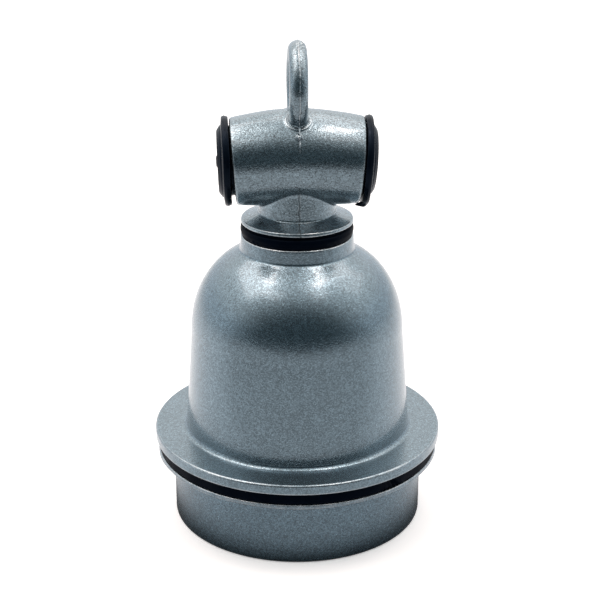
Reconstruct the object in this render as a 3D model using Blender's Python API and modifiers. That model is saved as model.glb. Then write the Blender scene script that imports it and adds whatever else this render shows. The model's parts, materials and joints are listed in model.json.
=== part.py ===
"""Weatherproof pendant lamp head: a cast bell with a hanging eye and a two-way cable barrel on top, a
threaded shade collar below, rubber gaskets between them and a porcelain lamp holder inside.

Units are metres, +Z is up and z = 0 is the collar's rim. The axis of the bell is x = y = 0.
"""
import math

import bmesh
import bpy
from mathutils import Matrix, Vector

MM = 0.001
GAP = 0.3                     # clearance between neighbours, mm
SEGS = 40                     # facets round the large turned pieces
SMALL_SEGS = 24               # facets round the medium turned pieces
SCREW_SEGS = 12               # facets round screws

# collar
COLLAR_R = 47.95
COLLAR_FLANGE_R = 54.0
COLLAR_FLANGE_UNDER = 25.4
COLLAR_TOP = 27.1
# thread between the collar and the bell
THREAD_PITCH = 6.0
THREAD_AMP = 0.8
THREAD_ROW = THREAD_PITCH / 5
FEMALE_MID_R = 44.9
MALE_MID_R = 44.4
# bell
FLANGE_R = 55.0
FLANGE_UNDER = 32.26
FLANGE_TOP = 35.55
WALL_FOOT_R = 42.74
WALL_TOP_R = 40.04
SHOULDER_Z = 75.03
SHOULDER_CENTRE_R = 14.51
SHOULDER_A = 25.53
SHOULDER_B = 31.58
SHOULDER_TOP_ANGLE = 62.3
NECK_R = 21.0
NECK_FOOT_R = 22.6
NECK_FOOT_Z = 105.45
NECK_TOP = 111.9
WALL = 3.0
PLATE_UNDER = 107.9
PLATE_HOLE_R = 11.4
SPIGOT_INNER_R = 40.3
SPIGOT_END = 16.8
# hanger head
DISC_R = 20.9
DISC_UNDER = 116.8
SADDLE_R = 14.2
SPIGOT_R = 11.0
SPIGOT_BOTTOM = 98.5
WIRE_BORE_R = 8.2
BARREL_Z = 141.2
BARREL_R = 17.5
BARREL_END_R = 15.9
BARREL_HALF = 23.5
BARREL_STRAIGHT = 11.5
BARREL_BORE_R = 13.2
ARM_DROOP = math.radians(4.5)
EYE_Z = 167.0
EYE_MAJOR_R = 13.1
EYE_WIRE_R = 3.3
# plugs
PLUG_BODY_R = 12.75
PLUG_FLANGE_R = 16.5
PLUG_DEPTH = 11.0
# lamp holder
PORCELAIN_R = 21.5
PORCELAIN_TOP = 86.0
PORCELAIN_MOUTH = 42.0
SOCKET_R = 14.8
SOCKET_TOP = 69.6
SHELL_PITCH = 3.629
SHELL_MID_R = 13.0
SHELL_AMP = 0.55
SHELL_HALF_WALL = 0.25
# bracket
BRACKET_Z = 86.3
BRACKET_T = 1.5
BRACKET_HALF_L = 32.0
BRACKET_HALF_W = 6.0
BOSS_X = 27.0
HOLDER_SCREW_X = 10.0
EARTH_Y = 27.0
STUD_Y = 7.8
SHELL_STUD_Y = 11.5

for old in list(bpy.data.objects):
    bpy.data.objects.remove(old, do_unlink=True)


def new_collection(name):
    coll = bpy.data.collections.new(name)
    bpy.context.scene.collection.children.link(coll)
    return coll


PARTS = new_collection("pendant_lamp_head")
CUTTERS = new_collection("cutters")


def material(name, colour, roughness, metallic):
    mat = bpy.data.materials.new(name)
    mat.use_nodes = True
    shader = mat.node_tree.nodes["Principled BSDF"]
    shader.inputs["Base Color"].default_value = (*colour, 1.0)
    shader.inputs["Roughness"].default_value = roughness
    shader.inputs["Metallic"].default_value = metallic
    mat.diffuse_color = (*colour, 1.0)
    return mat


def add_object(name, mesh, mat, coll=None):
    obj = bpy.data.objects.new(name, mesh)
    (coll or PARTS).objects.link(obj)
    if mat:
        mesh.materials.append(mat)
    return obj


def smooth(mesh, degrees=40):
    mesh.shade_smooth()
    mesh.set_sharp_from_angle(angle=math.radians(degrees))


def place(obj, location=(0, 0, 0), axis=(0, 0, 1)):
    """Moves an object to a point in mm and turns its +Z to an axis."""
    obj.location = Vector(location) * MM
    obj.rotation_euler = Vector(axis).to_track_quat("Z", "Y").to_euler()
    return obj


def hide_as_cutter(obj):
    obj.hide_render = True
    obj.display_type = "WIRE"
    return obj


def boolean(obj, other, operation):
    mod = obj.modifiers.new(operation.lower(), "BOOLEAN")
    mod.operation = operation
    mod.solver = "EXACT"
    mod.object = other
    hide_as_cutter(other)


def turned(name, profile, mat, segs=SEGS, coll=None, closed=True):
    """A profile of (radius, z) in mm, turned about Z. It runs from top to bottom on its outer side."""
    mesh = bpy.data.meshes.new(name)
    points = [(r * MM, 0.0, z * MM) for r, z in profile]
    edges = [(i, i + 1) for i in range(len(points) - 1)]
    if closed:
        edges.append((len(points) - 1, 0))
    mesh.from_pydata(points, edges, [])
    obj = add_object(name, mesh, mat, coll)
    screw = obj.modifiers.new("turn", "SCREW")
    screw.axis = "Z"
    screw.angle = math.tau
    screw.steps = segs
    screw.render_steps = segs
    screw.use_merge_vertices = True
    screw.merge_threshold = 0.00001
    screw.use_smooth_shade = True
    return obj


def wave_turned(name, loop, mat, segs, pitch, amplitude):
    """A closed loop of (radius, z, depth factor) in mm, turned about Z with a right-hand helical wave.

    The loop runs from top to bottom on its outer side.
    """
    mesh = bpy.data.meshes.new(name)
    bm = bmesh.new()
    rings = []
    for i in range(segs):
        turn = math.tau * i / segs
        ring = []
        for radius, z, factor in loop:
            r = radius + factor * amplitude * math.cos(math.tau * z / pitch - turn)
            ring.append(bm.verts.new((r * math.cos(turn) * MM, r * math.sin(turn) * MM, z * MM)))
        rings.append(ring)
    for i in range(segs):
        here = rings[i]
        there = rings[(i + 1) % segs]
        for j in range(len(loop)):
            k = (j + 1) % len(loop)
            bm.faces.new((here[j], here[k], there[k], there[j]))
    bmesh.ops.recalc_face_normals(bm, faces=bm.faces)
    bm.to_mesh(mesh)
    bm.free()
    smooth(mesh)
    return add_object(name, mesh, mat)


def curve_to_mesh(curve_obj, name, mat, coll=None):
    """Turns a curve object into a mesh object with its caps welded."""
    bpy.context.view_layer.update()
    graph = bpy.context.evaluated_depsgraph_get()
    mesh = bpy.data.meshes.new_from_object(curve_obj.evaluated_get(graph))
    mesh.name = name
    bm = bmesh.new()
    bm.from_mesh(mesh)
    bmesh.ops.remove_doubles(bm, verts=bm.verts, dist=0.000002)
    bmesh.ops.recalc_face_normals(bm, faces=bm.faces)
    bm.to_mesh(mesh)
    bm.free()
    smooth(mesh)
    mesh.materials.clear()
    matrix = curve_obj.matrix_world.copy()
    bpy.data.objects.remove(curve_obj, do_unlink=True)
    obj = add_object(name, mesh, mat, coll)
    obj.matrix_world = matrix
    return obj


def flat_plate(name, outlines, thickness, mat, coll=None, matrix=None):
    """Closed outlines in mm, filled and extruded. Inner outlines are holes. It starts at local z = 0."""
    curve = bpy.data.curves.new(name + "_outline", "CURVE")
    curve.dimensions = "2D"
    curve.fill_mode = "BOTH"
    curve.extrude = thickness * MM / 2
    for outline in outlines:
        spline = curve.splines.new("POLY")
        spline.points.add(len(outline) - 1)
        for point, (x, y) in zip(spline.points, outline):
            point.co = (x * MM, y * MM, 0.0, 1.0)
        spline.use_cyclic_u = True
    obj = bpy.data.objects.new(name + "_outline", curve)
    PARTS.objects.link(obj)
    lift = Matrix.Translation((0, 0, thickness * MM / 2))
    obj.matrix_world = (matrix or Matrix.Identity(4)) @ lift
    return curve_to_mesh(obj, name, mat, coll)


def circle(radius, segs, centre=(0, 0), start=0.0, sweep=math.tau):
    """Points on an arc. A full circle leaves out its repeated last point."""
    count = segs if sweep >= math.tau - 1e-6 else segs + 1
    points = []
    for i in range(count):
        a = start + sweep * i / segs
        points.append((centre[0] + radius * math.cos(a), centre[1] + radius * math.sin(a)))
    return points


def arc(centre, radius_x, radius_z, start, end, steps):
    """Points on an elliptical arc in the (radius, z) plane, with angles in degrees."""
    points = []
    for i in range(steps + 1):
        a = math.radians(start + (end - start) * i / steps)
        points.append((centre[0] + radius_x * math.cos(a), centre[1] + radius_z * math.sin(a)))
    return points


def cylinder(name, radius, low, high, mat=None, xy=(0, 0), segs=16, coll=None):
    """An upright cylinder between two heights in mm."""
    bm = bmesh.new()
    bmesh.ops.create_cone(
        bm,
        cap_ends=True,
        segments=segs,
        radius1=radius * MM,
        radius2=radius * MM,
        depth=(high - low) * MM,
    )
    mesh = bpy.data.meshes.new(name)
    bm.to_mesh(mesh)
    bm.free()
    smooth(mesh)
    obj = add_object(name, mesh, mat, coll or CUTTERS)
    return place(obj, (xy[0], xy[1], (low + high) / 2))


def box(name, low, high, mat=None, coll=None):
    """A box between two corners in mm."""
    bm = bmesh.new()
    bmesh.ops.create_cube(bm, size=1.0)
    size = [(b - a) * MM for a, b in zip(low, high)]
    bmesh.ops.scale(bm, vec=size, verts=bm.verts)
    mesh = bpy.data.meshes.new(name)
    bm.to_mesh(mesh)
    bm.free()
    obj = add_object(name, mesh, mat, coll or CUTTERS)
    return place(obj, [(a + b) / 2 for a, b in zip(low, high)])


def bent_tube(name, path, mat=None, coll=None, sides=14):
    """A tube along (x, y, z, radius) points in mm with flat ends."""
    curve = bpy.data.curves.new(name + "_path", "CURVE")
    curve.dimensions = "3D"
    curve.bevel_depth = MM
    curve.bevel_resolution = sides
    curve.use_fill_caps = True
    spline = curve.splines.new("POLY")
    spline.points.add(len(path) - 1)
    for point, (x, y, z, radius) in zip(spline.points, path):
        point.co = (x * MM, y * MM, z * MM, 1.0)
        point.radius = radius
    obj = bpy.data.objects.new(name + "_path", curve)
    CUTTERS.objects.link(obj)
    return curve_to_mesh(obj, name, mat, coll or CUTTERS)


def slotted_screw(name, location, axis, head_r, head_h, shaft_r, shaft_l, mat):
    """A screw whose head's underside is at the location and whose shaft runs along the axis."""
    profile = [
        (0.0, shaft_l),
        (shaft_r - 0.4, shaft_l),
        (shaft_r, shaft_l - 0.5),
        (shaft_r, 0.0),
        (head_r, 0.0),
        (head_r, -head_h + 0.6),
        (head_r - 0.7, -head_h),
        (0.0, -head_h),
    ]
    obj = turned(name, profile, mat, SCREW_SEGS, closed=False)
    slot_low = (-head_r - 1, -0.45, -head_h - 1)
    slot_high = (head_r + 1, 0.45, -head_h + 0.9)
    slot = box(name + "_slot", slot_low, slot_high)
    slot.parent = obj
    boolean(obj, slot, "DIFFERENCE")
    return place(obj, location, axis)


def arm_height(x):
    """Height of the barrel's arched axis at a distance from the middle, mm."""
    reach = abs(x)
    start = BARREL_HALF - BARREL_STRAIGHT
    bend = min(reach, start)
    drop = 0.5 * math.tan(ARM_DROOP) * bend * bend / start
    return BARREL_Z - drop - math.tan(ARM_DROOP) * max(reach - start, 0.0)


def barrel_radius(x):
    """Cask shape of the barrel, mm."""
    return BARREL_R - (BARREL_R - BARREL_END_R) * (x / BARREL_HALF) ** 2


BELL_PAINT = material("bell_paint", (0.23, 0.27, 0.29), 0.38, 0.7)
HEAD_PAINT = material("head_paint", (0.26, 0.29, 0.31), 0.42, 0.7)
COLLAR_PAINT = material("collar_paint", (0.20, 0.24, 0.26), 0.42, 0.7)


def rubber(name):
    return material(name, (0.015, 0.016, 0.018), 0.5, 0.0)


def brass(name):
    return material(name, (0.75, 0.55, 0.25), 0.3, 1.0)


def steel(name):
    return material(name, (0.55, 0.56, 0.57), 0.35, 1.0)


def build_collar():
    """Lower ring with a flange, and a coarse female thread for the bell and a glass."""
    outer = [
        (46.4, COLLAR_TOP, 0),
        (COLLAR_FLANGE_R - 0.4, COLLAR_TOP, 0),
        (COLLAR_FLANGE_R, COLLAR_TOP - 0.4, 0),
        (COLLAR_FLANGE_R, COLLAR_FLANGE_UNDER + 0.4, 0),
        (COLLAR_FLANGE_R - 0.4, COLLAR_FLANGE_UNDER, 0),
        (COLLAR_R + 1.2, COLLAR_FLANGE_UNDER, 0),
        (COLLAR_R, COLLAR_FLANGE_UNDER - 1.2, 0),
        (COLLAR_R, 0.5, 0),
        (COLLAR_R - 0.5, 0.0, 0),
        (46.2, 0.0, 0),
    ]
    first = 1
    last = int((COLLAR_TOP - 0.6) / THREAD_ROW)
    rows = []
    for n in range(first, last + 1):
        if n in (first, last):
            rows.append((FEMALE_MID_R + THREAD_AMP, n * THREAD_ROW, 0.0))
        else:
            rows.append((FEMALE_MID_R, n * THREAD_ROW, 1.0))
    return wave_turned("shade_collar", outer + rows, COLLAR_PAINT, SEGS, THREAD_PITCH, THREAD_AMP)


def build_flange_gasket():
    """Rubber ring between the bell's flange and the collar's flange."""
    low = COLLAR_TOP + GAP
    high = FLANGE_UNDER - GAP
    middle = (low + high) / 2
    profile = [(53.2, high), (53.8, middle), (53.2, low), (45.9, low), (45.9, high)]
    return turned("flange_gasket", profile, rubber("flange_gasket_rubber"))


def wall_middle(radius):
    """Height of the middle of the shoulder's wall at a radius, mm."""
    across = (radius - SHOULDER_CENTRE_R) / (SHOULDER_A - WALL / 2)
    return SHOULDER_Z + (SHOULDER_B - WALL / 2) * math.sqrt(max(1.0 - across * across, 0.0))


def boss(name, radius, low, xy):
    """An upright boss whose top follows the middle of the shoulder's wall."""
    obj = cylinder(name, radius, low, low + 10.0, xy=xy)
    for vert in obj.data.vertices:
        if vert.co.z > 0:
            reach = math.hypot(vert.co.x / MM + xy[0], vert.co.y / MM + xy[1])
            vert.co.z = (wall_middle(reach) - low - 5.0) * MM
    return obj


def bell_outer():
    """Bell's outer profile from the top plate's hole down to the flange's underside, mm."""
    points = [(PLATE_HOLE_R, NECK_TOP), (NECK_R - 0.6, NECK_TOP), (NECK_R, NECK_TOP - 0.6)]
    points += [(NECK_FOOT_R - 0.7, NECK_FOOT_Z + 1.1), (NECK_FOOT_R, NECK_FOOT_Z)]
    points += arc((SHOULDER_CENTRE_R, SHOULDER_Z), SHOULDER_A, SHOULDER_B, SHOULDER_TOP_ANGLE, 0, 8)
    flare = 3.4
    foot_z = FLANGE_TOP + flare
    points.append((WALL_FOOT_R - 0.1, foot_z))
    points.append((WALL_FOOT_R + 0.9, FLANGE_TOP + 1.0))
    points.append((WALL_FOOT_R + flare, FLANGE_TOP))
    points += [(FLANGE_R - 0.6, FLANGE_TOP), (FLANGE_R, FLANGE_TOP - 0.6)]
    points += [(FLANGE_R, FLANGE_UNDER + 0.6), (FLANGE_R - 0.6, FLANGE_UNDER)]
    return points


def bell_inner():
    """Bell's inner profile from the spigot's end up to the top plate, mm."""
    points = [(SPIGOT_INNER_R, SPIGOT_END), (SPIGOT_INNER_R, 30.0)]
    points.append((WALL_FOOT_R - WALL, 38.0))
    inner_a = SHOULDER_A - WALL
    inner_b = SHOULDER_B - WALL
    meet = math.degrees(math.acos((18.0 - SHOULDER_CENTRE_R) / inner_a))
    points += arc((SHOULDER_CENTRE_R, SHOULDER_Z), inner_a, inner_b, 0, meet, 6)
    points += [(18.0, PLATE_UNDER), (PLATE_HOLE_R, PLATE_UNDER)]
    return points


def build_bell():
    """Cast bell with a flange, a male thread, two bracket bosses and an earth boss."""
    loop = [(r, z, 0.0) for r, z in bell_outer()]
    loop.append((MALE_MID_R - 0.4, FLANGE_UNDER, 0.0))
    last = int((FLANGE_UNDER - 2.0) / THREAD_ROW)
    first = int(SPIGOT_END / THREAD_ROW) + 1
    for n in range(last, first - 1, -1):
        if n in (first, last):
            loop.append((MALE_MID_R - THREAD_AMP, n * THREAD_ROW, 0.0))
        else:
            loop.append((MALE_MID_R, n * THREAD_ROW, 1.0))
    loop.append((MALE_MID_R - 0.9, SPIGOT_END, 0.0))
    loop += [(r, z, 0.0) for r, z in bell_inner()]
    bell = wave_turned("bell_housing", loop, BELL_PAINT, SEGS, THREAD_PITCH, THREAD_AMP)
    boss_low = BRACKET_Z + BRACKET_T + GAP
    spots = [(BOSS_X, 0, boss_low), (-BOSS_X, 0, boss_low), (0, EARTH_Y, 92.0)]
    for i, (x, y, low) in enumerate(spots):
        boolean(bell, boss(f"boss_{i}", 4.5, low, (x, y)), "UNION")
    for i, (x, y, low) in enumerate(spots):
        deep = low + (6.0 if y else 8.0)
        hole = cylinder(f"boss_hole_{i}", 2.0, low - 1.0, deep, xy=(x, y), segs=12)
        boolean(bell, hole, "DIFFERENCE")
    return bell


def build_neck_gasket():
    """Rubber ring between the bell's neck and the head's disc."""
    low = NECK_TOP + GAP
    high = DISC_UNDER - GAP
    middle = (low + high) / 2
    profile = [(20.3, high), (20.8, middle), (20.3, low), (PLATE_HOLE_R, low), (PLATE_HOLE_R, high)]
    return turned("neck_gasket", profile, rubber("neck_gasket_rubber"))


def build_head():
    """Hanging eye, cable barrel, saddle, disc and spigot in one casting, bored through."""
    profile = [
        (0.0, 134.0),
        (SADDLE_R - 0.3, 134.0),
        (SADDLE_R, 124.0),
        (SADDLE_R + 0.3, 121.6),
        (SADDLE_R + 1.7, 120.1),
        (DISC_R - 0.5, DISC_UNDER + 1.5),
        (DISC_R, DISC_UNDER + 1.1),
        (DISC_R, DISC_UNDER + 0.5),
        (DISC_R - 0.5, DISC_UNDER),
        (SPIGOT_R, DISC_UNDER),
        (SPIGOT_R, SPIGOT_BOTTOM + 0.6),
        (SPIGOT_R - 0.6, SPIGOT_BOTTOM),
        (0.0, SPIGOT_BOTTOM),
    ]
    head = turned("hanger_head", profile, HEAD_PAINT, 32, closed=False)
    stations = [0.0, 4.0, 8.0, BARREL_HALF - BARREL_STRAIGHT, BARREL_HALF]
    xs = [-x for x in reversed(stations[1:])] + stations
    barrel = bent_tube("barrel", [(x, 0, arm_height(x), barrel_radius(x)) for x in xs])
    boolean(head, barrel, "UNION")
    bpy.ops.mesh.primitive_torus_add(
        major_segments=28,
        minor_segments=10,
        major_radius=EYE_MAJOR_R * MM,
        minor_radius=EYE_WIRE_R * MM,
    )
    eye = bpy.context.active_object
    eye.name = "eye_ring"
    for coll in list(eye.users_collection):
        coll.objects.unlink(eye)
    CUTTERS.objects.link(eye)
    place(eye, (0, 0, EYE_Z), (1, 0, 0))
    boolean(head, eye, "UNION")
    far = [BARREL_HALF - BARREL_STRAIGHT, 32.0]
    bore_xs = [-x for x in reversed(far)] + [0.0] + far
    bore = bent_tube("barrel_bore", [(x, 0, arm_height(x), BARREL_BORE_R) for x in bore_xs])
    boolean(head, bore, "DIFFERENCE")
    wire_way = cylinder("wire_way", WIRE_BORE_R, 90.0, 138.0, segs=20)
    boolean(head, wire_way, "DIFFERENCE")
    return head


def build_plug(name, side):
    """Rubber plug in one barrel end, with a flange, a raised disc and a nub."""
    profile = [
        (0.0, 5.4),
        (2.0, 5.4),
        (2.4, 4.7),
        (11.5, 4.7),
        (12.0, 4.2),
        (12.0, 3.3),
        (PLUG_FLANGE_R - 0.5, 3.3),
        (PLUG_FLANGE_R, 2.6),
        (PLUG_FLANGE_R, 1.0),
        (PLUG_FLANGE_R - 0.5, GAP),
        (PLUG_BODY_R, GAP),
        (PLUG_BODY_R - 0.3, -PLUG_DEPTH),
        (0.0, -PLUG_DEPTH),
    ]
    plug = turned(name, profile, rubber(name + "_rubber"), SMALL_SEGS, closed=False)
    axis = (side * math.cos(ARM_DROOP), 0, -math.sin(ARM_DROOP))
    return place(plug, (side * BARREL_HALF, 0, arm_height(BARREL_HALF)), axis)


def build_neck_fixings():
    """Hexagonal locknut on the spigot and a toothed washer above it."""
    bore = SPIGOT_R + 0.4
    teeth = []
    for i in range(48):
        radius = 16.0 if i % 4 < 2 else 14.4
        a = math.tau * i / 48
        teeth.append((radius * math.cos(a), radius * math.sin(a)))
    washer_low = PLATE_UNDER - GAP - 1.2
    lift = Matrix.Translation((0, 0, washer_low * MM))
    outlines = [teeth, circle(bore, SMALL_SEGS)]
    flat_plate("neck_lock_washer", outlines, 1.2, steel("lock_washer_steel"), matrix=lift)
    nut_top = washer_low - GAP
    lift = Matrix.Translation((0, 0, (nut_top - 5.0) * MM))
    outlines = [circle(16.4, 6), circle(bore, SMALL_SEGS)]
    flat_plate("neck_locknut", outlines, 5.0, steel("locknut_steel"), matrix=lift)


def build_holder():
    """Porcelain lamp holder, open below, with holes for its studs and screws."""
    profile = [
        (0.0, PORCELAIN_TOP),
        (PORCELAIN_R - 2.0, PORCELAIN_TOP),
        (PORCELAIN_R, PORCELAIN_TOP - 2.0),
        (PORCELAIN_R, 60.0),
        (PORCELAIN_R - 1.3, 59.0),
        (PORCELAIN_R - 1.3, PORCELAIN_MOUTH + 1.0),
        (PORCELAIN_R - 2.3, PORCELAIN_MOUTH),
        (SOCKET_R + 1.0, PORCELAIN_MOUTH),
        (SOCKET_R, PORCELAIN_MOUTH + 1.0),
        (SOCKET_R, SOCKET_TOP),
        (0.0, SOCKET_TOP),
    ]
    porcelain = material("porcelain_glaze", (0.88, 0.87, 0.83), 0.15, 0.0)
    holder = turned("lampholder_body", profile, porcelain, SMALL_SEGS, closed=False)
    for i, y in enumerate((-STUD_Y, SHELL_STUD_Y)):
        hole = cylinder(f"stud_hole_{i}", 1.8, SOCKET_TOP - 2, PORCELAIN_TOP + 2, xy=(0, y), segs=10)
        boolean(holder, hole, "DIFFERENCE")
    for i, x in enumerate((-HOLDER_SCREW_X, HOLDER_SCREW_X)):
        hole = cylinder(f"fix_hole_{i}", 2.0, 77.5, PORCELAIN_TOP + 2, xy=(x, 0), segs=10)
        boolean(holder, hole, "DIFFERENCE")


def build_shell():
    """Thin brass shell with a round thread and a turned-in top."""
    out_r = SHELL_MID_R + SHELL_HALF_WALL
    in_r = SHELL_MID_R - SHELL_HALF_WALL
    step = SHELL_PITCH / 4
    top = 69.2
    count = 16
    start = 51.0
    rows = [start + step * n for n in range(count + 1)]
    factors = [0.0] + [1.0] * (count - 1) + [0.0]
    loop = [(10.0, top, 0), (out_r, top, 0)]
    loop += [(out_r, z, f) for z, f in zip(reversed(rows), factors)]
    loop += [(out_r, 45.0, 0), (out_r + 0.9, 44.0, 0), (out_r + 0.4, 43.7, 0), (in_r, 44.8, 0)]
    loop += [(in_r, z, f) for z, f in zip(rows, factors)]
    loop += [(in_r, top - 0.5, 0), (10.0, top - 0.5, 0)]
    wave_turned("screw_shell", loop, brass("shell_brass"), SMALL_SEGS, SHELL_PITCH, SHELL_AMP)


def side_profile_matrix(x_start):
    """Local X to world Y, local Y to world Z and local Z to world X."""
    turn = Matrix(((0, 0, 1, 0), (1, 0, 0, 0), (0, 1, 0, 0), (0, 0, 0, 1)))
    return Matrix.Translation((x_start * MM, 0, 0)) @ turn


def build_contact():
    """Contact base plate, its hinged tongue, and the two studs."""
    base = [(-2.2, -9.4), (2.2, -9.4), (2.2, -5.6), (-2.2, -5.6)]
    lift = Matrix.Translation((0, 0, 68.7 * MM))
    outlines = [base, circle(1.5, 10, (0, -STUD_Y))]
    flat_plate("contact_base", outlines, 0.5, brass("contact_base_brass"), matrix=lift)
    pivot = Vector((0, -5.3, 68.8))
    side = [(0, 0.25), (0, -0.25), (5.0, -2.55), (6.4, -2.55), (8.0, -1.6), (7.8, -1.15)]
    side += [(6.2, -2.0), (5.2, -2.0)]
    matrix = Matrix.Translation(pivot * MM) @ side_profile_matrix(-2.2)
    tongue = flat_plate("contact_tongue", [side], 4.4, brass("tongue_brass"), matrix=matrix)
    shift = tongue.matrix_world.copy()
    tongue.data.transform(Matrix.Translation(-pivot * MM) @ shift)
    tongue.matrix_world = Matrix.Translation(pivot * MM)
    stud = [
        (0.0, PORCELAIN_TOP),
        (1.2, PORCELAIN_TOP),
        (1.2, 68.4),
        (1.9, 68.4),
        (1.6, 67.5),
        (0.0, 67.5),
    ]
    obj = turned("contact_stud", stud, brass("contact_stud_brass"), 10, closed=False)
    place(obj, (0, -STUD_Y, 0))
    mat = brass("shell_stud_brass")
    cylinder("shell_stud", 1.4, 69.5, PORCELAIN_TOP, mat, (0, SHELL_STUD_Y), 10, PARTS)


def build_terminal(name, side):
    """Brass block with a wire hole and a clamping screw."""
    y_near = side * 6.5
    y_far = side * 14.5
    y_mid = side * 10.5
    low = PORCELAIN_TOP + GAP
    high = low + 5.5
    corners = sorted((y_near, y_far))
    block = box(
        "terminal_" + name,
        (-3.5, corners[0], low),
        (3.5, corners[1], high),
        brass(name + "_brass"),
        PARTS,
    )
    wire = cylinder(name + "_wire_hole", 1.25, -6, 6, segs=10)
    place(wire, (0, y_mid, low + 2.0), (1, 0, 0))
    boolean(block, wire, "DIFFERENCE")
    hole = cylinder(name + "_screw_hole", 1.85, low + 2.0, high + 2, xy=(0, y_mid), segs=10)
    boolean(block, hole, "DIFFERENCE")
    spot = (0, y_mid, high + GAP)
    mat = steel(name + "_screw_steel")
    slotted_screw("terminal_screw_" + name, spot, (0, 0, -1), 2.7, 1.8, 1.5, 2.2, mat)


def build_bracket():
    """Steel strap across the bell, its screws and spring washers, and the holder's screws."""
    half_l = BRACKET_HALF_L
    half_w = BRACKET_HALF_W
    outline = [(-half_l + 2, -half_w), (half_l - 2, -half_w), (half_l, -half_w + 2)]
    outline += [(half_l, half_w - 2), (half_l - 2, half_w), (-half_l + 2, half_w)]
    outline += [(-half_l, half_w - 2), (-half_l, -half_w + 2)]
    holes = [circle(2.2, 12, (x, 0)) for x in (-BOSS_X, -HOLDER_SCREW_X, HOLDER_SCREW_X, BOSS_X)]
    lift = Matrix.Translation((0, 0, BRACKET_Z * MM))
    flat_plate("holder_bracket", [outline] + holes, BRACKET_T, steel("bracket_zinc"), matrix=lift)
    for word, side in (("left", -1), ("right", 1)):
        x = side * BOSS_X
        gap_angle = math.radians(12)
        sweep = math.tau - 2 * gap_angle
        ring = circle(3.6, 16, (x, 0), gap_angle, sweep)
        ring += list(reversed(circle(2.2, 16, (x, 0), gap_angle, sweep)))
        low = BRACKET_Z - GAP - 0.9
        lift = Matrix.Translation((0, 0, low * MM))
        flat_plate("spring_washer_" + word, [ring], 0.9, steel(word + "_washer"), matrix=lift)
        mat = steel(word + "_bracket_screw_steel")
        spot = (x, 0, low - GAP)
        slotted_screw("bracket_screw_" + word, spot, (0, 0, 1), 3.8, 2.6, 1.7, 9.0, mat)
        spot = (side * HOLDER_SCREW_X, 0, BRACKET_Z + BRACKET_T + GAP)
        mat = steel(word + "_holder_screw_steel")
        slotted_screw("holder_screw_" + word, spot, (0, 0, -1), 3.6, 2.2, 1.7, 9.0, mat)


def build_earth():
    """Earth screw and washer on the bell's own boss."""
    low = 92.0 - GAP - 1.0
    lift = Matrix.Translation((0, 0, low * MM))
    outlines = [circle(4.4, 16, (0, EARTH_Y)), circle(2.2, 12, (0, EARTH_Y))]
    flat_plate("earth_washer", outlines, 1.0, brass("earth_washer_brass"), matrix=lift)
    spot = (0, EARTH_Y, low - GAP)
    mat = brass("earth_screw_brass")
    slotted_screw("earth_screw", spot, (0, 0, 1), 3.8, 2.6, 1.7, 6.5, mat)


build_collar()
build_flange_gasket()
build_bell()
build_neck_gasket()
build_head()
build_plug("cable_plug_left", -1)
build_plug("cable_plug_right", 1)
build_neck_fixings()
build_holder()
build_shell()
build_contact()
build_terminal("live", -1)
build_terminal("neutral", 1)
build_bracket()
build_earth()
bpy.context.view_layer.update()
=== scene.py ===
"""Looks of the weatherproof pendant lamp head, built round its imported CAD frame."""
import json
import math

import bpy
import numpy as np
from mathutils import Matrix, Vector

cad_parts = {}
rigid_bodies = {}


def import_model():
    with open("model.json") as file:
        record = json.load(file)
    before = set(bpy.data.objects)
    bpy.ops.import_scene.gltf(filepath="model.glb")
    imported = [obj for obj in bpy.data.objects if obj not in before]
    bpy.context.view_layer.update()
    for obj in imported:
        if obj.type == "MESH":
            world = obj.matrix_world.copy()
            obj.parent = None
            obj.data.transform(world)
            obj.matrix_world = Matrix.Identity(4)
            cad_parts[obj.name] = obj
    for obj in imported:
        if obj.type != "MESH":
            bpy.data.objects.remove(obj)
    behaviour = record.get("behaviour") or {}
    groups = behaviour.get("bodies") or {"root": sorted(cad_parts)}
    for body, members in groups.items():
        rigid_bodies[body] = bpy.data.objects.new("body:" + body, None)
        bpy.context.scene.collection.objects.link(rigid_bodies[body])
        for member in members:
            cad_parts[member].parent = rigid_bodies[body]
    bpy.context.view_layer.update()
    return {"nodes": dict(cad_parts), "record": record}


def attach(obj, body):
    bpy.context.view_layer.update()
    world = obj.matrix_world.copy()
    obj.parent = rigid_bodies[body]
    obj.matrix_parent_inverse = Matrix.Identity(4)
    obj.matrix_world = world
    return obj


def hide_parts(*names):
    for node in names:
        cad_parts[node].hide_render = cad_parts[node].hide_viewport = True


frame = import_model()

MM = 0.001
TAU = math.tau

# ----------------------------------------------------------------------------------------------
# sizes in mm, most of them as in the CAD
# ----------------------------------------------------------------------------------------------
COLLAR_R = 47.95
COLLAR_FLANGE_R = 54.0
COLLAR_FLANGE_UNDER = 25.4
COLLAR_TOP = 27.1
GASKET_R = 53.7
GASKET_INNER_R = 45.9
THREAD_PITCH = 6.0
THREAD_AMP = 0.8
THREAD_FADE = 1.2
THREAD_GROW = 0.9
FEMALE_MID_R = 44.9
FEMALE_LOW = 1.4
FEMALE_HIGH = 25.8
MALE_MID_R = 44.4
MALE_LOW = 17.6
MALE_HIGH = 30.8
FLANGE_R = 55.0
FLANGE_UNDER = 32.26
FLANGE_LIP_UNDER = 31.76
FLANGE_TOP = 35.55
WALL_FOOT_R = 42.74
SHOULDER_Z = 75.03
SHOULDER_CENTRE_R = 14.51
SHOULDER_A = 25.53
SHOULDER_B = 31.58
SHOULDER_TOP_ANGLE = 62.3
NECK_R = 21.0
NECK_FOOT_R = 22.6
NECK_FOOT_Z = 105.45
NECK_TOP = 111.9
WALL = 3.0
PLATE_UNDER = 107.9
PLATE_R = 18.0
PLATE_HOLE_R = 11.4
SPIGOT_INNER_R = 40.3
SPIGOT_END = 16.8
DISC_R = 20.9
DISC_UNDER = 116.8
SADDLE_R = 14.2
SPIGOT_R = 11.0
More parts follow.
